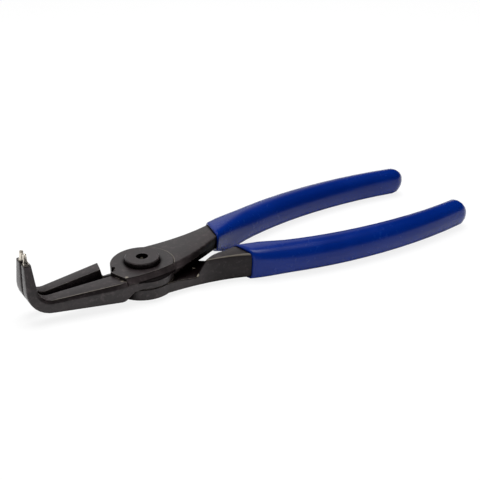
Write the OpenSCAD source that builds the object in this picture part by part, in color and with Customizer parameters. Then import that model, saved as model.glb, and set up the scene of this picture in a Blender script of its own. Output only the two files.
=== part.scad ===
// Circlip pliers with tips bent up at a right angle, for rings in a bore.
// Two forged levers cross on one rivet, so squeezing the handles brings the tips together.
// The pliers lie flat on z = 0 with the pivot axis on z, the handles along +x and the tips up.

/* [Joint] */
// Diameter of the round lap plates
joint_d = 22; // [20:0.5:24]
// Thickness of the two lap plates together
joint_h = 9.5; // [8.5:0.25:10.5]
// Working gap between the lap plates and under the rivet head
lap_gap = 0.1; // [0.06:0.02:0.2]
// How far the inner side of a lap plate is cut in from the round
lap_trim = 0.8; // [0.4:0.1:1.2]
// How far the lap faces lie below the middle of the joint
lap_drop = 0.5; // [0.3:0.1:0.7]

/* [Rivet] */
// Diameter of the rivet shank
rivet_d = 8; // [6.5:0.25:9]
// Radial running clearance of the upper lever on the shank
running_gap = 0.04; // [0.02:0.01:0.08]
// Diameter of the rivet head
head_d = 12; // [11:0.25:14]
// Height of the rivet head above the upper plate
head_h = 1.8; // [1:0.1:2.4]
// Diameter of the closed end under the lower plate
tail_d = 11; // [10:0.25:13]
// Diameter of the centre hole in the head
socket_d = 4.2; // [3:0.2:5]
// Depth of the centre hole
socket_depth = 2.6; // [1.5:0.1:4]

/* [Jaws] */
// Distance from the pivot to the axis of the bent tips
jaw_reach = 40.8; // [38:0.1:48]
// Thickness of a jaw at the joint
jaw_h = 7.3; // [6.5:0.1:8]
// Thickness of a jaw where the bend begins
jaw_neck_h = 5; // [4.4:0.1:5.6]
// Half width over both jaws at the joint
jaw_half_w = 9.2; // [8.4:0.1:10]
// Half width over both jaws where the bend begins
jaw_neck_half_w = 5.5; // [5:0.1:6]
// Half width of the open wedge beside the upper jaw at the joint
upper_wedge = 2; // [1.6:0.1:2.6]
// Half width of the open wedge beside the lower jaw at the joint
lower_wedge = 4.2; // [3.4:0.1:4.6]
// Half width of the gap between the closed tips
tip_half_gap = 0.6; // [0.4:0.05:0.8]
// Radius of the bend along the middle of a jaw
bend_r = 6.5; // [5.5:0.25:7.5]
// Height of the jaw ends above the middle plane of the joint
tip_rise = 15.5; // [13.5:0.25:18]
// Width of a jaw end
tip_w = 2.8; // [2.6:0.05:3]

/* [Tip pins] */
// Diameter of the working end of a pin
pin_d = 1.3; // [1.1:0.05:1.5]
// Height of a pin above its jaw end
pin_len = 3.5; // [3:0.1:4.5]
// Diameter of the shank of a pin in its jaw
pin_shank_d = 1.8; // [1.6:0.05:1.9]
// Length of the shank in the jaw
pin_shank_len = 4; // [3.5:0.25:4.5]
// Inward lean of the pins
pin_lean = 12; // [8:0.5:13]

/* [Handles] */
// Distance from the pivot to the dip line where the sleeves begin
sleeve_x = 32.5; // [31:0.5:38]
// How much later the lower sleeve begins than the upper one
dip_late = 1.5; // [0:0.25:2]
// Skew of the sleeves' rims
dip_skew = 0.2; // [0:0.05:0.3]
// Distance from the pivot to the handle ends
handle_x = 132; // [122:1:145]
// Half distance between the handle middles at the dip line
handle_y = 8.85; // [8.6:0.05:9.6]
// Half distance between the handle middles at their ends
handle_end_y = 19.2; // [17.2:0.25:22]
// Angle at which the handles spread at the dip line
splay = 27; // [24:0.5:29]
// Angle at which the handles turn in at their ends
hook = 9.5; // [5:0.5:14]
// Width of the steel handle at the dip line
tang_w = 10; // [9:0.25:10.5]
// Width of the steel handle at its end
tang_end_w = 6; // [5.5:0.1:7]
// Height of the steel handle at the dip line
tang_h = 9.4; // [9.2:0.1:9.8]
// Height of the steel handle at its end
tang_end_h = 8.5; // [8:0.1:9.2]
// Wall of the dipped sleeves
sleeve_wall = 1.05; // [0.8:0.05:1.4]

/* [Hidden] */
$fn = 72;
far = 200;
steel = [0.25, 0.24, 0.23];
bright_steel = [0.6, 0.6, 0.6];
blue = [0.05, 0.12, 0.45];
joint_r = joint_d / 2;
half_h = joint_h / 2;
// Heights of the lap faces over the middle of the joint, each seen from its own lever
upper_lap = lap_gap / 2 - lap_drop;
lower_lap = lap_gap / 2 + lap_drop;
// The sleeves and the closed rivet end stand on z = 0
mid_z = tang_h / 2 + sleeve_wall;
// Flat steps on the curves of a corner, of the bend and along a handle
corner_steps = 4;
bend_steps = 8;
neck_steps = 12;
grip_steps = 16;
end_steps = 6;
// How much the steps along a handle crowd toward the dip line
grip_crowd = 1.4;
// Most of a side that the roundings of its two corners may take
side_share = 0.95;

// Plain curves

function unit(v) = v / norm(v);
function mix(a, b, t) = a + (b - a) * t;
function ease(t) = t * t * (3 - 2 * t);
function middle(points) = [for (p = points) 1] * points / len(points);
function bezier(p, t) = pow(1 - t, 3) * p[0] + 3 * t * pow(1 - t, 2) * p[1]
    + 3 * t * t * (1 - t) * p[2] + pow(t, 3) * p[3];

// How far a rounding of the given size reaches along a side that it shares with the next one
function reach(side, size, other) =
    size == 0 ? 0 : min(size, side_share * norm(side) * size / (size + other));

// A closed outline whose corners are rounded from the given setbacks, where the sides leave room;
// a corner without a setback stays one point
function rounded(corners, setbacks) = [
    for (i = [0 : len(corners) - 1])
        let (
            n = len(corners),
            here = corners[i],
            back = corners[(i + n - 1) % n] - here,
            on = corners[(i + 1) % n] - here,
            size = setbacks[i],
            a = here + reach(back, size, setbacks[(i + n - 1) % n]) * unit(back),
            b = here + reach(on, size, setbacks[(i + 1) % n]) * unit(on)
        )
        for (k = [0 : size > 0 ? corner_steps : 0])
            let (t = k / corner_steps)
            pow(1 - t, 2) * a + 2 * t * (1 - t) * here + t * t * b
];

// A solid skinned over a row of outlines with equal point counts, closed by a fan at each end
module loft(rings) {
    n = len(rings[0]);
    last = len(rings) - 1;
    start = (last + 1) * n;
    sides = [
        for (j = [0 : last - 1])
            for (i = [0 : n - 1])
                let (a = j * n + i, b = j * n + (i + 1) % n)
                each [[a, b, b + n], [a, b + n, a + n]]
    ];
    ends = [
        for (i = [0 : n - 1])
            let (k = (i + 1) % n)
            each [[k, i, start], [last * n + i, last * n + k, start + 1]]
    ];
    polyhedron(points = concat([for (ring = rings) each ring], [middle(rings[0]), middle(rings[last])]),
        faces = concat(sides, ends), convexity = 8);
}

// Jaws

// Forging ridge along the outer sides, and its height as a share of a neck
ridge = 0.4;
ridge_height = 0.25;
jaw_ridge = 0.6;
root_ridge = 1;
tip_ridge = 0.2;
jaw_corner = 0.6;
// The jaw starts inside its lap plate, a little narrower there, and leaves it at the root
jaw_start_x = joint_r / 2;
jaw_root_x = joint_r + 1;
root_in = 0.7;
// Share of the open wedge that is left where the bend begins
wedge_taper = 0.2;
// The bent end leans forward and narrows from the end of the bend to its top
tip_lean = 0.2;
bend_x = jaw_reach - bend_r - tip_lean;
shaft_w = 4;
shaft_h = 3.5;
tip_h = 2.4;
// How much wider the end of the lower jaw is at its top and where its bend ends
lower_extra = [0.6, 1.2];

// One jaw outline: middle at [x, z], turned up by angle, from inner to outer side, thickness h
function jaw_ring(x, z, angle, inner, outer, h, edge) = [
    for (p = rounded(
            [[inner, h / 2], [outer, h / 2], [outer + edge, h / 4], [outer, -h / 2],
             [inner, -h / 2]],
            [jaw_corner, jaw_corner / 2, jaw_corner / 2, jaw_corner, jaw_corner]))
        [p[1] * sin(angle) - x, -p[0], z + p[1] * cos(angle)]
];

function arm_ring(x, wedge) =
    jaw_ring(x, 0, 0, wedge, jaw_half_w, jaw_h, jaw_ridge);

// Inside the lap plate the jaw keeps its thickness
function root_ring(x, wedge) =
    jaw_ring(x, 0, 0, wedge, jaw_half_w - root_in, jaw_h, root_ridge);

function bend_ring(t, wedge, extra) =
    jaw_ring(bend_x + bend_r * sin(90 * t), bend_r * (1 - cos(90 * t)), 90 * t,
        mix(tip_half_gap + wedge * wedge_taper, tip_half_gap, t),
        mix(jaw_neck_half_w, tip_half_gap + shaft_w + extra[1], t),
        mix(jaw_neck_h, shaft_h, t), mix(jaw_ridge, tip_ridge, t));

function tip_ring(extra) =
    jaw_ring(jaw_reach, tip_rise, 90, tip_half_gap, tip_half_gap + tip_w + extra[0], tip_h, tip_ridge);

// The jaw on the -y side, bent up at its end
module jaw(wedge, extra) {
    loft(concat(
        [root_ring(jaw_start_x, wedge), arm_ring(jaw_root_x, wedge)],
        [for (k = [0 : bend_steps]) bend_ring(k / bend_steps, wedge, extra)],
        [tip_ring(extra)]));
}

tip_mid_y = tip_half_gap + tip_w / 2;

module at_tip() {
    translate([-jaw_reach, -tip_mid_y, tip_rise]) rotate([-pin_lean, 0, 0]) children();
}

module pin_bore() {
    at_tip() translate([0, 0, -pin_shank_len]) cylinder(d = pin_shank_d, h = 2 * pin_shank_len);
}

// Lap plates

// The inner side of a lap plate is round up to a ledge, and above it leans in along a wide arc
trim_r = 43;
trim_x = -4;
trim_lean = 1.3;
trim_over = 0.2;
trim_draft = 0.25;
trim_y = trim_r - joint_r + lap_trim;
trim_z = 2.7;
ledge = 0.4;
plate_edge = 0.35;
// Front corners of a lap plate, where it steps down to its jaw
front_inner = [-joint_r - 1.6, -1.9];
front_outer = [-joint_r + 1.8, -joint_r];
notch_r = 0.9;
notch_at = [0.2 - joint_r, 0.4];

// Everything inside the arc, which stands out by foot below the ledge
module trim_side(foot) {
    translate([trim_x, trim_y, 0]) rotate_extrude() polygon([[0, -half_h], [trim_r + foot, -half_h],
        [trim_r + foot, trim_z - ledge], [trim_r, trim_z], [trim_r - trim_lean, half_h], [0, half_h]]);
}

// The plate of the upper lever, above its lap face
module lap_plate(lap) {
    difference() {
        union() {
            intersection() {
                rotate_extrude() polygon([[0, lap], [joint_r, lap],
                    [joint_r, half_h - plate_edge], [joint_r - plate_edge, half_h], [0, half_h]]);
                trim_side(lap_trim + trim_over);
            }
            intersection() {
                translate([0, 0, lap]) linear_extrude(half_h - lap)
                    polygon([[0, 0], front_inner, front_outer, [0, -joint_r]]);
                trim_side(-trim_draft);
            }
        }
        translate([notch_at[0], notch_at[1], -half_h]) cylinder(r = notch_r, h = 2 * joint_h);
    }
}

// Necks and handles, drawn for the upper lever with its outer side at +y

// The necks lie a step below the faces of the lap plates
neck_step = 0.25;
neck_h = joint_h - 2 * neck_step;
neck_corner = 0.4;
tang_corner = 0.9;
end_corner = 3;
// Heights of the forging ridge and of the foot of the inner side; the foot and the underside of a
// neck reach a little past the lap face that is cut there
ridge_z = trim_z;
foot_past = 0.4;
under_past = 0.6;
foot_z = -lap_drop - foot_past;
lap_depth = lap_drop + under_past;
least_w = 1.2;
// How far the inner side stands out at the ridge and in at the foot, at the joint and at the dip line
ridge_start = -1.75;
ridge_share = 0.05;
foot_start = -1.1;
foot_recess = 1.2;
foot_share = 0.2;
// Rates at which the sleeved part turns plain, and how its corners grow with the wall
settle_rate = 4;
ridge_fade = 0.2;
slant_rate = 7;
crown = 0.1;
grow_round = 2.3;
splay_reach = 0.78;
rim_inner = handle_y - tang_w / 2;
rim_outer = rim_inner + tang_w;
// Setbacks of the curves of the inner and outer sides of the neck, from the joint to the dip line
neck_in = [2.8, 3.65, 6];
neck_out = [0.8, 1.4, 1.1];
neck_inner = [neck_in[0] - joint_r, neck_in[1] - joint_r, rim_inner - neck_in[2], rim_inner];
neck_outer = [joint_r - neck_out[0], joint_r - neck_out[1], joint_r - neck_out[2], rim_outer];
// Half length of the rounded ends, and where they begin
end_len = 1.3 * (tang_end_w / 2 + sleeve_wall);
end_x = handle_x - end_len;
end_turn = 82;
end_under = 1;
// Half length over which the slope of the underside is taken
probe = 0.5;

// Outline at x from top to bottom, with the inner side offset at the ridge and the foot;
// level scales the heights of both, grow draws the outline larger on all sides, skew sets the
// outer side ahead along the handle, and fall is the slope of the bottom there
function handle_ring(x, inner, outer, low_inner, top, bottom, ridge_in, foot_in, corner,
        bulge = ridge, rise = ridge_height, level = 1, grow = 0, skew = 0, fall = 0) =
    let (
        mid = (inner + outer) / 2,
        low = min(low_inner, outer - least_w),
        outline = rounded(
            [[inner - grow, top + grow], [outer + grow, top + grow],
             [outer + bulge + grow, mix(bottom, top, rise)],
             [outer + grow, bottom - grow - fall * skew * (outer - mid)],
             [low - grow, bottom - grow - fall * skew * (low - mid)],
             [inner + foot_in - grow, foot_z * level], [inner + ridge_in - grow, ridge_z * level]],
            [corner, corner, 0, corner, corner, 0, 0])
    ) [
        for (p = outline)
            let (ahead = skew * (p[0] - mid))
            [x + ahead, p[0] + ahead * tan(splay), p[1]]
    ];

// Depth of the lower half at x, which grows along a ramp
function depth(x, h, ramp) =
    mix(lap_depth, h / 2, ease(max(0, min(1, (x - ramp[0]) / (ramp[1] - ramp[0])))));

function neck_ring(t, lows, ramp) =
    let (h = mix(neck_h, tang_h, t), slant = lows[1] - rim_inner)
    handle_ring(sleeve_x * t, bezier(neck_inner, t), bezier(neck_outer, t),
        mix(lows[0], lows[1], t), h / 2, -depth(sleeve_x * t, h, ramp),
        mix(ridge_start, ridge_share * slant, t * t),
        mix(mix(foot_start, foot_recess, ease(min(1, t * 2))), foot_share * slant, t * t),
        mix(neck_corner, tang_corner, pow(t, 4)));

grip_axis = let (third = (end_x - sleeve_x) / 3) [
    [sleeve_x, handle_y],
    [sleeve_x + third * splay_reach, handle_y + third * splay_reach * tan(splay)],
    [end_x - third, handle_end_y + third * tan(hook)],
    [end_x, handle_end_y]
];

function grip_ring(t, lows, ramp, grow, shrink = 1, ahead = 0, skew = 0, under = 1) =
    let (
        axis = bezier(grip_axis, t),
        w = mix(tang_w, tang_end_w, t) * shrink,
        h = mix(tang_h, tang_end_h, t) * shrink,
        inner = axis[1] - w / 2,
        settle = ease(min(1, t * settle_rate)),
        slant = (lows[1] - rim_inner) * (1 - ease(min(1, t * slant_rate)))
    )
    handle_ring(axis[0] + ahead, inner, inner + w, inner + slant, h / 2, -depth(axis[0], h, ramp) * under,
        ridge_share * slant - crown * shrink * settle, foot_share * slant - crown * shrink * settle,
        (mix(tang_corner, end_corner, settle) + grow * grow_round) * shrink,
        bulge = mix(ridge, crown, settle) * shrink, rise = mix(ridge_height, 0.5, settle),
        level = shrink * mix(1, ridge_fade, settle), grow = grow * shrink, skew = skew,
        fall = (depth(axis[0] + probe, h, ramp) - depth(axis[0] - probe, h, ramp)) / (2 * probe));

// The rounded end of a handle, drawn as shrinking outlines, more so on the underside
function end_ring(t, lows, ramp, grow) =
    let (shrink = cos(end_turn * t))
    grip_ring(1, lows, ramp, grow, shrink, (end_len - sleeve_wall + grow) * sin(end_turn * t),
        under = pow(shrink, end_under));

function along_grip(k) = pow(k / grip_steps, grip_crowd);

module handle(lows, ramp) {
    loft(concat(
        [for (k = [0 : neck_steps - 1]) neck_ring(k / neck_steps, lows, ramp)],
        [for (k = [0 : grip_steps]) grip_ring(along_grip(k), lows, ramp, 0)],
        [for (k = [1 : end_steps]) end_ring(k / end_steps, lows, ramp, 0)]));
}

// Cuts that free the other lever

// The upper lever thickens along a ramp, the lower one behind a leaning shoulder
upper_lows = [2 - joint_r, 8.2];
upper_ramp = [28, 38];
upper_shoulder = [23, 10.6];
lower_lows = [14, 6.7];
lower_ramp = [0, 1];
lower_shoulder = [15.3, 10.6];
shoulder_turn = 30;
shoulder_lean = 20;
// Behind the plate the lap face of the lower lever falls away
relief_x = 8;
lower_relief = 6;
// Room round the other lever's plate, and the slope of the upper jaw behind it
plate_room = 0.4;
jaw_slope = 0.9;
// Back face of the lower jaw, and the bevel of its root toward the far side
lower_root_x = joint_r + 1.8;
root_turn = 12;
root_lean = 12;
bevel_x = lower_root_x - jaw_h / 2 * tan(root_lean);
bevel_y = 5;
bevel = 20;

// Everything below the lap face and on the pivot side of the leaning shoulder
module lap_cut(shoulder, relief, lap) {
    intersection() {
        translate([shoulder[0], shoulder[1], lap]) rotate([0, 0, -shoulder_turn])
            rotate([shoulder_lean, 0, 0]) translate([-far / 2, -far, -far / 2]) cube(far);
        union() {
            translate([-far / 2, -far / 2, lap - far]) cube(far);
            if (relief > 0)
                translate([relief_x, 0, lap]) rotate([0, -relief, 0])
                    translate([0, -far / 2, -far]) cube(far);
        }
    }
}

// Room for the lower plate behind the lower half of the upper jaw
module upper_jaw_cut() {
    translate([0, 0, upper_lap - joint_h])
        cylinder(r1 = joint_r + plate_room + joint_h * jaw_slope, r2 = joint_r + plate_room,
            h = joint_h);
}

// Room for the upper plate behind the upper half of the lower jaw
module lower_jaw_cut() {
    intersection() {
        translate([-lower_root_x, jaw_half_w, jaw_h / 2]) rotate([0, -root_lean, -root_turn])
            translate([0, -far / 2, -far / 2]) cube(far);
        translate([-far / 2, -far / 2, -lower_lap]) cube(far);
    }
}

// Slope from the lap face to the outer side, between the lower plate and its jaw
module root_bevel() {
    difference() {
        translate([-bevel_x, bevel_y, -lower_lap]) rotate([-bevel, 0, 0])
            translate([0, -bevel_y, 0]) cube([bevel_x - bevel_y, far, far]);
        translate([0, 0, -joint_h]) cylinder(r = joint_r, h = 2 * joint_h);
    }
}

module rear(lows, ramp, shoulder, relief, lap) {
    lap_plate(lap);
    difference() {
        handle(lows, ramp);
        lap_cut(shoulder, relief, lap);
    }
}

module upper_lever() {
    color(steel) translate([0, 0, mid_z]) difference() {
        union() {
            rear(upper_lows, upper_ramp, upper_shoulder, 0, upper_lap);
            difference() {
                jaw(upper_wedge, [0, 0]);
                upper_jaw_cut();
            }
        }
        translate([0, 0, -joint_h]) cylinder(d = rivet_d + 2 * running_gap, h = 2 * joint_h);
        pin_bore();
    }
}

module lower_lever() {
    color(steel) translate([0, 0, mid_z]) difference() {
        union() {
            rotate([180, 0, 0]) rear(lower_lows, lower_ramp, lower_shoulder, lower_relief, lower_lap);
            difference() {
                mirror([0, 1, 0]) jaw(lower_wedge, lower_extra);
                lower_jaw_cut();
            }
        }
        root_bevel();
        translate([0, 0, -joint_h]) cylinder(d = rivet_d, h = 2 * joint_h);
        mirror([0, 1, 0]) pin_bore();
    }
}

// Rivet

head_edge = 0.3;
socket_cone = 0.8;

module pivot_rivet() {
    head_z = mid_z + half_h + lap_gap / 2;
    color(steel) rotate_extrude() polygon([
        [0, 0], [tail_d / 2, 0], [tail_d / 2, mid_z - half_h], [rivet_d / 2, mid_z - half_h],
        [rivet_d / 2, head_z], [head_d / 2, head_z], [head_d / 2, head_z + head_h - head_edge],
        [head_d / 2 - head_edge, head_z + head_h], [socket_d / 2, head_z + head_h],
        [socket_d / 2, head_z + head_h - socket_depth], [0, head_z + head_h - socket_depth - socket_cone]
    ]);
}

// Tip pins

// Straight foot above the jaw, cone to the working end and chamfer at the top
pin_foot = 0.4;
pin_cone = 0.7;
pin_edge = 0.15;

module pin() {
    at_tip() rotate_extrude() polygon([
        [0, -pin_shank_len], [pin_shank_d / 2, -pin_shank_len], [pin_shank_d / 2, pin_foot],
        [pin_d / 2, pin_foot + pin_cone], [pin_d / 2, pin_len - pin_edge],
        [pin_d / 2 - pin_edge, pin_len], [0, pin_len]
    ]);
}

module upper_tip_pin() {
    color(bright_steel) translate([0, 0, mid_z]) pin();
}

module lower_tip_pin() {
    color(bright_steel) translate([0, 0, mid_z]) mirror([0, 1, 0]) pin();
}

// Sleeves

// Clearance on the handle, wall at the rounded rim and where the full wall begins behind it
sleeve_play = 0.03;
rim_wall = 0.6 * sleeve_wall;
rim_share = 0.006;
skew_rate = 6;
skew_room = 0.015;

// A cup from the inner end to the rim and back to the outer end. It starts late along the handle,
// with a rim that is skewed by the dip
module sleeve(lows, ramp, late, skew) {
    from = late / (end_x - sleeve_x);
    first = ceil(grip_steps * pow(from + skew_room, 1 / grip_crowd));
    loft(concat(
        [for (k = [end_steps : -1 : 1]) end_ring(k / end_steps, lows, ramp, sleeve_play)],
        [for (k = [grip_steps : -1 : first]) grip_ring(along_grip(k), lows, ramp, sleeve_play)],
        [grip_ring(from, lows, ramp, sleeve_play, skew = skew)],
        [grip_ring(from, lows, ramp, rim_wall, skew = skew)],
        [for (k = [0 : grip_steps])
            let (t = along_grip(k))
            grip_ring(mix(from + rim_share, 1, t), lows, ramp, sleeve_wall,
                skew = skew * (1 - ease(min(1, t * skew_rate))))],
        [for (k = [1 : end_steps]) end_ring(k / end_steps, lows, ramp, sleeve_wall)]));
}

module upper_grip_sleeve() {
    color(blue) translate([0, 0, mid_z]) sleeve(upper_lows, upper_ramp, 0, dip_skew);
}

module lower_grip_sleeve() {
    color(blue) translate([0, 0, mid_z]) rotate([180, 0, 0])
        sleeve(lower_lows, lower_ramp, dip_late, dip_skew);
}

upper_lever();
lower_lever();
pivot_rivet();
upper_tip_pin();
lower_tip_pin();
upper_grip_sleeve();
lower_grip_sleeve();
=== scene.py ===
"""Bent-tip circlip pliers: materials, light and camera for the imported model."""
import math
from types import SimpleNamespace

import bpy
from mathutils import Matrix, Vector

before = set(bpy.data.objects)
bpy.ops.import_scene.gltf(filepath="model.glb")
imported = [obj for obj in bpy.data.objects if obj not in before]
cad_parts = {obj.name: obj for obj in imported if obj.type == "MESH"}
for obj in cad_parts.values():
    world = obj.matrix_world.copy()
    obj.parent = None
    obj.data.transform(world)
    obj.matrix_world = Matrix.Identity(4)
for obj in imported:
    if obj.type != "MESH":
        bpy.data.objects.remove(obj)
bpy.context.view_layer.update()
scene = bpy.context.scene
scene.view_settings.view_transform = "Standard"


# Small helpers for node trees


class Tree:
    """A node tree with short calls for adding and joining nodes."""

    def __init__(self, tree):
        self.tree = tree
        tree.nodes.clear()

    def add(self, kind, inputs=None, **settings):
        node = self.tree.nodes.new(kind)
        for name, value in settings.items():
            setattr(node, name, value)
        for name, value in (inputs or {}).items():
            self.put(node, name, value)
        return node

    def put(self, node, name, value):
        socket = node.inputs[name]
        if isinstance(value, bpy.types.NodeSocket):
            self.tree.links.new(value, socket)
        else:
            socket.default_value = value

    def math(self, operation, a, b=0.0):
        return self.add("ShaderNodeMath", {0: a, 1: b}, operation=operation).outputs[0]

    def product(self, value, *factors):
        for factor in factors:
            value = self.math("MULTIPLY", value, factor)
        return value

    def without(self, share):
        """What is left of one when the share is taken away."""
        return self.math("SUBTRACT", 1.0, share)

    def spread(self, value, low, high, to_low=0.0, to_high=1.0):
        """Ease from to_low to to_high while the value goes from low to high."""
        node = self.add("ShaderNodeMapRange", {"Value": value, "From Min": low, "From Max": high,
                                               "To Min": to_low, "To Max": to_high})
        node.interpolation_type = "SMOOTHSTEP"
        return node.outputs[0]

    def near(self, value, middle, far, close):
        """One within close of the middle, and nothing beyond far."""
        gap = self.math("ABSOLUTE", self.math("SUBTRACT", value, middle))
        return self.spread(gap, far, close)

    def split(self, vector):
        return tuple(self.add("ShaderNodeSeparateXYZ", {0: vector}).outputs)

    def measure(self, operation, *vectors):
        """A number worked out from vectors, such as a length or a distance."""
        node = self.add("ShaderNodeVectorMath", dict(enumerate(vectors)), operation=operation)
        return node.outputs["Value"]

    def mix(self, share, a, b):
        return self.add("ShaderNodeMix", {0: share, 6: a, 7: b}, data_type="RGBA").outputs[2]

    def noise(self, where, scale, detail, roughness=0.55):
        node = self.add("ShaderNodeTexNoise", {"Vector": where, "Scale": scale, "Detail": detail,
                                               "Roughness": roughness})
        return node.outputs["Fac"]

    def occlusion(self, reach, **settings):
        """How open the surface is within reach."""
        node = self.add("ShaderNodeAmbientOcclusion", {"Distance": reach}, samples=8, **settings)
        return node.outputs["AO"]

    def bevel(self, radius, samples=6):
        """The normal that the surface would have with its edges rounded."""
        return self.add("ShaderNodeBevel", {"Radius": radius}, samples=samples).outputs[0]

    def bump(self, height, strength, depth, **normal):
        node = self.add("ShaderNodeBump", {"Height": height, "Strength": strength, "Distance": depth,
                                           **normal})
        return node.outputs[0]


def new_material(name):
    material = bpy.data.materials.new(name)
    material.use_nodes = True
    t = Tree(material.node_tree)
    shader = t.add("ShaderNodeBsdfPrincipled")
    t.add("ShaderNodeOutputMaterial", {"Surface": shader.outputs[0]})
    where = t.add("ShaderNodeTexCoord").outputs["Object"]
    return material, t, shader, where


# Black oxide steel


def warm(value, tint=1.0):
    """A grey with the slight brown of worn steel."""
    return tuple(value * (1 + part * tint) for part in (0.2, -0.06, -0.02)) + (1.0,)


SKIN_COLOURS = (warm(0.0125), warm(0.0215))
MARK_COLOUR = warm(0.05)
# Colour that painted shade takes the skin towards
PAINTED_SHADE_COLOUR = warm(0.0015, tint=2)
# Colour of worn edges, knocked corners and painted highlights
WEAR_AND_HIGHLIGHT_COLOUR = (0.37, 0.33, 0.26, 1)
STEEL_SHINE = 0.265
# Share of the skin's colour and shine that painted shade takes away
DARKEST = 0.9
# Radii to which the edges of a forging and of the rivet look rounded, and how wide an edge is worn
FORGED_EDGE = 0.00012
RIVET_EDGE = 0.00006
WORN_EDGE = 0.0007
# Pitch of the turning marks on the rivet
RING_PITCH = 0.00035

# Places on the steel in metres; a pair says where a region fades in and where it is full
# Joint: its round, the seam between the plates, the ledge on its near side and the raised rim; painted
# shadow lines run along the seam and the ledge
JOINT_R = (0.012, 0.0115)
SEAM_Z = 0.00525
LEDGE_Z = 0.00825
NEAR_SIDE_Y = (0.0, -0.004)
RIM_R = 0.0109
RIM_X = (0.001, 0.005)
# Near jaw, its front end and the top edge of the near neck, which carry painted shade and painted
# highlights
JAW_X = (-0.011, -0.014)
JAW_Y = (-0.002, -0.004)
JAW_END_X = (-0.036, -0.032)
NECK_X = (0.013, 0.018)
NECK_Y = (-0.006, -0.009)
# Painted shade on the necks next to the sleeves, and in the crotch behind the joint
NECK_SHADE_X = (0.012, 0.026)
CROTCH_X = (0.004, 0.010)
CROTCH_Y = (-0.009, -0.004)
# Knocked corners and a painted glint in the rivet's hole, each with its place and strength
WORN_SPOTS_AND_GLINT = (
    ((-0.0095, -0.0078, 0.0106), 0.5),
    ((0.0157, -0.0104, 0.0053), 1.0),
    ((0.0181, -0.0032, 0.0042), 1.0),
    ((0.0007, 0.0020, 0.0104), 1.0),
    ((-0.0112, -0.0078, 0.0095), 0.3),
)
SPOT_R = (0.0008, 0.0002)


def steel_facts(t, where, edge):
    """Noises, place and facing of a point of the steel, and the regions used more than once."""
    s = SimpleNamespace(where=where)
    s.blotch = t.noise(where, scale=160, detail=5)
    s.marks = t.noise(where, scale=620, detail=6, roughness=0.65)
    s.grain = t.noise(where, scale=3800, detail=3, roughness=0.6)
    s.x, s.y, s.z = t.split(where)
    flat = t.add("ShaderNodeCombineXYZ", {0: s.x, 1: s.y}).outputs[0]
    s.radius = t.measure("LENGTH", flat)
    _, s.facing_y, s.up = t.split(t.add("ShaderNodeNewGeometry").outputs["Normal"])
    s.rounded = t.bevel(edge)
    # Negative on top of an edge, and positive on the side just below it
    s.lift = t.math("SUBTRACT", t.split(t.bevel(WORN_EDGE))[2], s.up)
    s.joint = t.spread(s.radius, *JOINT_R)
    # A painted shadow line along the ledge on the near side of the joint
    s.ledge = t.product(t.near(s.z, LEDGE_Z, far=0.0006, close=0.0003), s.joint,
                        t.spread(s.y, *NEAR_SIDE_Y))
    s.near_jaw = t.product(t.spread(s.x, *JAW_X), t.spread(s.y, *JAW_Y))
    return s


def painted_neck_shade(t, s):
    """Painted shade on the sides of the necks, and less of it on the top of the near one."""
    sleeve_end = t.spread(s.x, *NECK_SHADE_X, to_high=0.5)
    crotch = t.product(t.spread(s.x, *CROTCH_X), t.spread(s.y, *CROTCH_Y))
    top = t.product(sleeve_end, t.spread(s.y, *NEAR_SIDE_Y, to_high=0.6))
    return t.mix(t.spread(s.up, 0.2, 0.6), t.math("MAXIMUM", sleeve_end, crotch), top)


def painted_steel_shade(t, s, turned):
    """Painted shade: how much of the skin shows, little in corners, under the other lever and in shaded
    places.
    """
    # Painted shade in corners, in creases and under the other lever, from how open the surface is
    crevice = t.occlusion(reach=0.0012)
    cave = t.occlusion(reach=0.004)
    roof = t.occlusion(reach=0.014)
    sky = t.mix(t.spread(s.up, 0.2, 0.6), t.spread(roof, 0.25, 0.6), t.spread(roof, 0.6, 0.9))
    shade = t.product(t.spread(crevice, 0.3, 0.9), t.spread(cave, 0.3, 0.75), sky)
    # Painted shade just below the top edges, and on the side of the rivet's head
    below_edge = t.spread(s.up, 0.6, 0.3, to_high=0.8) if turned else t.spread(s.lift, 0.05, 0.22)
    # A painted shadow line along the seam between the plates
    seam = t.product(t.near(s.z, SEAM_Z, far=0.0004, close=0.00015), s.joint)
    # Painted shade on the upper band of the near jaw's side
    jaw_band = t.product(s.near_jaw, t.spread(s.facing_y, -0.5, -0.8),
                         t.spread(s.up, 0.1, 0.25, to_high=0.5))
    for dark in (below_edge, seam, s.ledge, painted_neck_shade(t, s), jaw_band):
        shade = t.product(shade, t.without(t.product(dark, DARKEST)))
    return shade


def steel_wear_and_highlights(t, s, turned):
    """Bright places: worn edges, the rim of the joint and knocked corners, with painted highlights on
    the top edges of the near side and a painted glint in the rivet's hole.
    """
    edges = t.product(t.spread(s.lift, -0.08, -0.24), t.spread(s.up, 0.8, 0.95, to_low=0.1),
                      t.without(s.ledge), t.spread(s.marks, 0.35, 0.58, to_high=0.0 if turned else 0.4))
    rim = t.product(t.near(s.radius, RIM_R, far=0.0003, close=0.0001),
                    t.spread(s.x, *RIM_X, to_high=0.2), t.spread(s.up, 0.97, 0.99))
    # Painted highlights along the top edges of the near neck and the near jaw, on their near side only
    neck = t.product(t.spread(s.x, *NECK_X), t.spread(s.y, *NECK_Y, to_high=0.25),
                     t.spread(s.up, 0.3, 0.55))
    jaw = t.product(s.near_jaw, t.spread(s.x, *JAW_END_X, to_high=0.2), t.spread(s.up, 0.5, 0.7))
    strip = t.product(t.math("ADD", neck, jaw), t.spread(s.facing_y, -0.2, -0.4))
    # Knocked corners, and a painted glint in the rivet's hole
    spots = [t.spread(t.measure("DISTANCE", s.where, spot), *SPOT_R, to_high=strength)
             for spot, strength in WORN_SPOTS_AND_GLINT]
    wear_and_highlights = edges
    for bright in (rim, strip, *spots):
        wear_and_highlights = t.math("MAXIMUM", wear_and_highlights, bright)
    return wear_and_highlights


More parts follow.
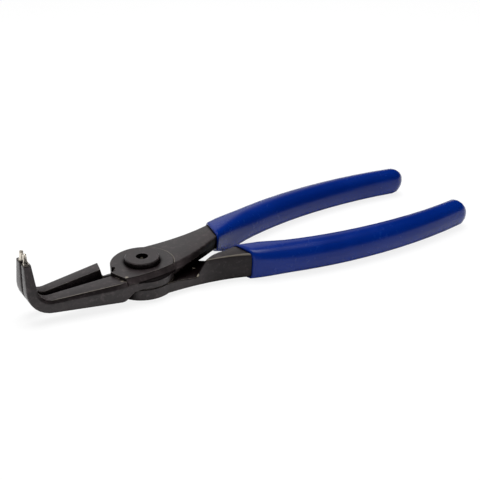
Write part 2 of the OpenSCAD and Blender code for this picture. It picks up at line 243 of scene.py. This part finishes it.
def black_steel(name, edge, turned=False):
    """Black oxide on forged steel, with painted shade and painted highlights. A turned piece has fine
    rings and no worn edges.
    """
    material, t, shader, where = new_material(name)
    s = steel_facts(t, where, edge)
    shade = painted_steel_shade(t, s, turned)
    base = t.mix(t.spread(s.blotch, 0.35, 0.68), *SKIN_COLOURS)
    base = t.mix(t.spread(s.marks, 0.5, 0.7, to_high=0.6), base, MARK_COLOUR)
    # Painted shade darkens the colour and the shine; wear and painted highlights brighten the colour
    base = t.mix(shade, PAINTED_SHADE_COLOUR, base)
    t.put(shader, "Base Color", t.mix(steel_wear_and_highlights(t, s, turned), base, WEAR_AND_HIGHLIGHT_COLOUR))
    t.put(shader, "Specular IOR Level", t.product(shade, STEEL_SHINE))
    smooth = t.spread(s.blotch, 0.3, 0.7, to_low=0.28, to_high=0.36)
    t.put(shader, "Roughness", t.math("ADD", smooth, t.product(s.marks, 0.12)))
    height = t.math("ADD", t.product(s.marks, 0.6), t.product(s.grain, 0.4))
    if turned:
        rings = t.math("SINE", t.product(s.radius, 2 * math.pi / RING_PITCH))
        height = t.math("ADD", height, t.product(rings, 0.25))
    t.put(shader, "Normal", t.bump(height, strength=0.35, depth=0.00006, Normal=s.rounded))
    return material


# Bright ground steel of the pins

PIN_COLOURS = ((0.5, 0.455, 0.385, 1), (0.68, 0.635, 0.56, 1))
# The marks run round a pin, so they are squeezed along it
PIN_SQUEEZE = (1.0, 1.0, 9.0)


def bright_pin():
    """Ground spring steel with fine marks round the pin."""
    material, t, shader, where = new_material("bright_pin")
    squeezed = t.add("ShaderNodeVectorMath", {0: where, 1: PIN_SQUEEZE}, operation="MULTIPLY").outputs[0]
    marks = t.noise(squeezed, scale=1800, detail=3)
    cloud = t.noise(where, scale=500, detail=4)
    t.put(shader, "Base Color", t.mix(t.spread(cloud, 0.3, 0.7), *PIN_COLOURS))
    t.put(shader, "Metallic", 1.0)
    t.put(shader, "Roughness", t.spread(marks, 0.3, 0.7, to_low=0.26, to_high=0.36))
    t.put(shader, "Normal", t.bump(marks, strength=0.25, depth=0.00003))
    return material


# Blue vinyl of the sleeves

VINYL_COLOURS = ((0.0, 0.0127, 0.138, 1), (0.0001, 0.0155, 0.159, 1))
SCUFF_COLOUR = (0.004, 0.021, 0.19, 1)
# Colour of the painted shade in the sleeve's creases
VINYL_SHADE_COLOUR = (0.0, 0.002, 0.02, 1)
VINYL_SHINE = 0.19
# Radius to which the rims and corners of the sleeves look rounded
VINYL_EDGE = 0.0011


def blue_vinyl():
    """Dipped vinyl: satin skin with soft dip waves, scuffs, a finer pebble and painted shade in its
    creases.
    """
    material, t, shader, where = new_material("blue_vinyl")
    cloud = t.noise(where, scale=55, detail=4)
    scuff = t.noise(where, scale=420, detail=6, roughness=0.7)
    pebble = t.noise(where, scale=2600, detail=2)
    wave = t.noise(where, scale=110, detail=1)
    base = t.mix(t.spread(cloud, 0.35, 0.65), *VINYL_COLOURS)
    base = t.mix(t.spread(scuff, 0.58, 0.75, to_high=0.1), base, SCUFF_COLOUR)
    # Painted shade in the sleeve's own creases
    crevice = t.occlusion(reach=0.0012, only_local=True)
    t.put(shader, "Base Color", t.mix(t.spread(crevice, 0.3, 0.85), VINYL_SHADE_COLOUR, base))
    t.put(shader, "Specular IOR Level", VINYL_SHINE)
    smooth = t.spread(cloud, 0.3, 0.7, to_low=0.22, to_high=0.27)
    t.put(shader, "Roughness", t.math("ADD", smooth, t.spread(scuff, 0.5, 0.75, to_high=0.05)))
    height = t.math("ADD", wave, t.product(pebble, 0.04))
    rounded = t.bevel(VINYL_EDGE, samples=12)
    t.put(shader, "Normal", t.bump(height, strength=0.35, depth=0.00025, Normal=rounded))
    return material


# Smooth shading up to a crease angle in degrees, as a modifier on each solid

WELD = 1e-6
STEEL_CREASE = 24
SLEEVE_CREASE = 45


def crease_group(name, degrees):
    """Geometry nodes that weld a mesh and shade it smooth, apart from its sharper edges."""
    group = bpy.data.node_groups.new(name, "GeometryNodeTree")
    group.interface.new_socket("Geometry", in_out="INPUT", socket_type="NodeSocketGeometry")
    group.interface.new_socket("Geometry", in_out="OUTPUT", socket_type="NodeSocketGeometry")
    t = Tree(group)
    start = t.add("NodeGroupInput")
    weld = t.add("GeometryNodeMergeByDistance", {"Geometry": start.outputs[0], "Distance": WELD})
    angle = t.add("GeometryNodeInputMeshEdgeAngle").outputs[0]
    soft = t.add("FunctionNodeCompare", {"A": angle, "B": math.radians(degrees)}, data_type="FLOAT",
                 operation="LESS_THAN")
    faces = t.add("GeometryNodeSetShadeSmooth", {"Geometry": weld.outputs[0], "Shade Smooth": True},
                  domain="FACE")
    edges = t.add("GeometryNodeSetShadeSmooth", {"Geometry": faces.outputs[0],
                                                 "Shade Smooth": soft.outputs[0]}, domain="EDGE")
    t.add("NodeGroupOutput", {0: edges.outputs[0]})
    return group


def dress(names, material, creases):
    """Give solids of the frame their material and their smooth shading."""
    for name in names:
        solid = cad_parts[name]
        for slot in solid.material_slots:
            slot.material = material
        solid.modifiers.new("crease", "NODES").node_group = creases


# White table

TABLE_HALF = 3.0
TABLE_Z = -0.0002
WHITE = (1, 1, 1, 1)
PAPER = (0.92, 0.92, 0.92, 1)
# The camera sees the table paler than it is, and wholly white far from the part
PALE_AWAY = (0.3, 1.0)
PALE_SHARE = (0.85, 1.0)
# How bright the table is in reflections
MIRRORED_GLOW = 0.1


def table_material():
    material = bpy.data.materials.new("white_table")
    material.use_nodes = True
    t = Tree(material.node_tree)
    paths = t.add("ShaderNodeLightPath").outputs
    mirrored = t.math("MAXIMUM", paths["Is Glossy Ray"], paths["Is Transmission Ray"])
    away = t.measure("LENGTH", t.add("ShaderNodeTexCoord").outputs["Object"])
    paler = t.product(paths["Is Camera Ray"], t.spread(away, *PALE_AWAY, *PALE_SHARE))
    paper = t.add("ShaderNodeBsdfDiffuse", {"Color": PAPER})
    white = t.add("ShaderNodeEmission", {"Color": WHITE, "Strength": 1.0})
    seen = t.add("ShaderNodeMixShader", {0: paler, 1: paper.outputs[0], 2: white.outputs[0]})
    glow = t.add("ShaderNodeEmission", {"Color": WHITE, "Strength": t.product(mirrored, MIRRORED_GLOW)})
    both = t.add("ShaderNodeAddShader", {0: seen.outputs[0], 1: glow.outputs[0]})
    t.add("ShaderNodeOutputMaterial", {"Surface": both.outputs[0]})
    return material


def white_table():
    corners = [(-1, -1), (1, -1), (1, 1), (-1, 1)]
    mesh = bpy.data.meshes.new("table")
    mesh.from_pydata([(x * TABLE_HALF, y * TABLE_HALF, TABLE_Z) for x, y in corners], [], [(0, 1, 2, 3)])
    mesh.materials.append(table_material())
    table = bpy.data.objects.new("table", mesh)
    scene.collection.objects.link(table)


# Soft studio light

# The part mirrors a dark room with one bright panel, behind it and to its left in the photograph
ROOM = (0.01, 0.01, 0.01, 1)
PANEL = (1.2, 1.2, 1.2, 1)
TO_FRONT = (-0.525, -0.851, 0.0)
TO_RIGHT = (0.851, -0.525, 0.0)
LAMP_AIM = (0.05, 0, 0)


def studio_world():
    world = bpy.data.worlds.new("studio")
    scene.world = world
    world.use_nodes = True
    t = Tree(world.node_tree)
    paths = t.add("ShaderNodeLightPath").outputs
    way = t.add("ShaderNodeTexCoord").outputs["Generated"]
    height = t.split(way)[2]
    front = t.measure("DOT_PRODUCT", way, TO_FRONT)
    right = t.measure("DOT_PRODUCT", way, TO_RIGHT)
    panel = t.product(t.spread(height, 0.85, 0.5), t.spread(front, 0.1, -0.15),
                      t.spread(right, 0.25, -0.1), t.spread(height, 0.0, 0.4, to_low=0.15))
    colour = t.mix(paths["Is Camera Ray"], t.mix(panel, ROOM, PANEL), WHITE)
    back = t.add("ShaderNodeBackground", {"Color": colour, "Strength": 1.0})
    t.add("ShaderNodeOutputWorld", {"Surface": back.outputs[0]})


def looking_along(direction):
    """Rotation of a lamp or camera that looks along the direction."""
    return direction.to_track_quat("-Z", "Y").to_euler()


def lamp(name, place, side, power, glossy=True):
    data = bpy.data.lights.new(name, "AREA")
    data.shape = "SQUARE"
    data.size = side
    data.energy = power
    obj = bpy.data.objects.new(name, data)
    obj.location = place
    obj.rotation_euler = looking_along(Vector(LAMP_AIM) - Vector(place))
    obj.visible_glossy = glossy
    scene.collection.objects.link(obj)


# Camera fitted to the photograph, aimed at the middle plane of the joint's height

CAMERA_AIM = (0.04204, 0.00442, 0.00575)
CAMERA_TURN = math.radians(-31.7)
CAMERA_RISE = math.radians(26.22)
CAMERA_AWAY = 0.330
SENSOR = 36.0
FOCAL_PIXELS = 891
PICTURE_PIXELS = 480


def camera():
    level = math.cos(CAMERA_RISE)
    back = Vector((math.sin(CAMERA_TURN) * level, -math.cos(CAMERA_TURN) * level, math.sin(CAMERA_RISE)))
    data = bpy.data.cameras.new("camera")
    data.sensor_width = SENSOR
    data.lens = SENSOR * FOCAL_PIXELS / PICTURE_PIXELS
    data.clip_start, data.clip_end = 0.01, 20.0
    obj = bpy.data.objects.new("camera", data)
    obj.location = Vector(CAMERA_AIM) + back * CAMERA_AWAY
    obj.rotation_euler = looking_along(-back)
    scene.collection.objects.link(obj)
    scene.camera = obj


# The dressed part and its studio

steel_creases = crease_group("crease_steel", STEEL_CREASE)
sleeve_creases = crease_group("crease_sleeve", SLEEVE_CREASE)
dress(("upper_lever", "lower_lever"), black_steel("black_oxide_steel", FORGED_EDGE), steel_creases)
dress(("pivot_rivet",), black_steel("turned_rivet", RIVET_EDGE, turned=True), steel_creases)
dress(("upper_tip_pin", "lower_tip_pin"), bright_pin(), steel_creases)
dress(("upper_grip_sleeve", "lower_grip_sleeve"), blue_vinyl(), sleeve_creases)
white_table()
studio_world()
lamp("overhead", (0.05, 0.05, 0.9), side=0.9, power=6.3, glossy=False)
lamp("fill", (-0.3, -0.6, 0.22), side=0.5, power=1.1, glossy=False)
lamp("softbox", (0.07, 0.07, 0.9), side=0.5, power=5.5)
camera()
